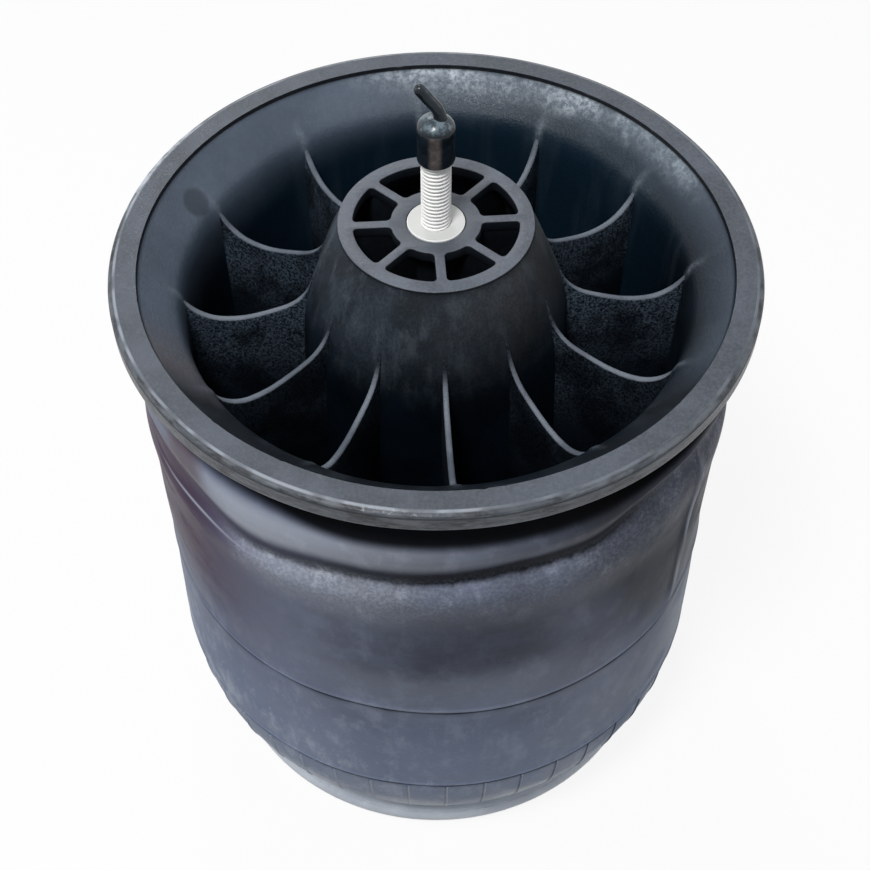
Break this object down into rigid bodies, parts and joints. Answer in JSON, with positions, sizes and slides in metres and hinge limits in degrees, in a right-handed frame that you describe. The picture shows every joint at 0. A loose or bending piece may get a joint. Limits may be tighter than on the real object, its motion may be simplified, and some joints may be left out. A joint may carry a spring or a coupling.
{
  "type": "rolling lobe air spring",
  "caption": "Rolling lobe air spring standing on its bead plate, with a rubber sleeve over a ribbed moulded piston and a capped centre stud.",
  "frame": {"origin": "centre of the outer face of the bead plate, which the spring stands on", "axes": "+Z along the spring's axis from the bead plate to the open end of the piston and its stud; +X and +Y lie in the face of the bead plate"},
  "size_m": [0.28, 0.28, 0.3983],
  "materials": {
    "coated_steel": "satin",
    "plated_steel": "satin",
    "bellows_rubber": "satin",
    "bumper_rubber": "matte",
    "piston_plastic": "satin",
    "white_coating": "satin",
    "cap_vinyl": "gloss"
  },
  "bodies": {
    "plate_body": {"bead_plate": "coated_steel", "blind_nut_1": "plated_steel", "blind_nut_2": "plated_steel", "blind_nut_3": "plated_steel", "blind_nut_4": "plated_steel", "air_inlet_boss": "plated_steel", "upper_bead_core": "plated_steel", "bellows": "bellows_rubber"},
    "piston_body": {"lower_bead_core": "plated_steel", "end_closure": "plated_steel", "bumper": "bumper_rubber", "bumper_washer": "plated_steel", "bumper_screw": "plated_steel", "piston": "piston_plastic", "compression_bush": "white_coating", "piston_stud": "white_coating"},
    "cap_body": {"thread_cap": "cap_vinyl"}
  },
  "joints": [
    {"name": "piston_stroke", "type": "slide", "parent": "plate_body", "child": "piston_body", "axis": [0, 0, 1], "range_m": [0, 0.2], "deforming": ["bellows"]},
    {"name": "cap_pull", "type": "slide", "parent": "piston_body", "child": "cap_body", "axis": [0, 0, 1], "range_m": [0, 0.05]}
  ]
}
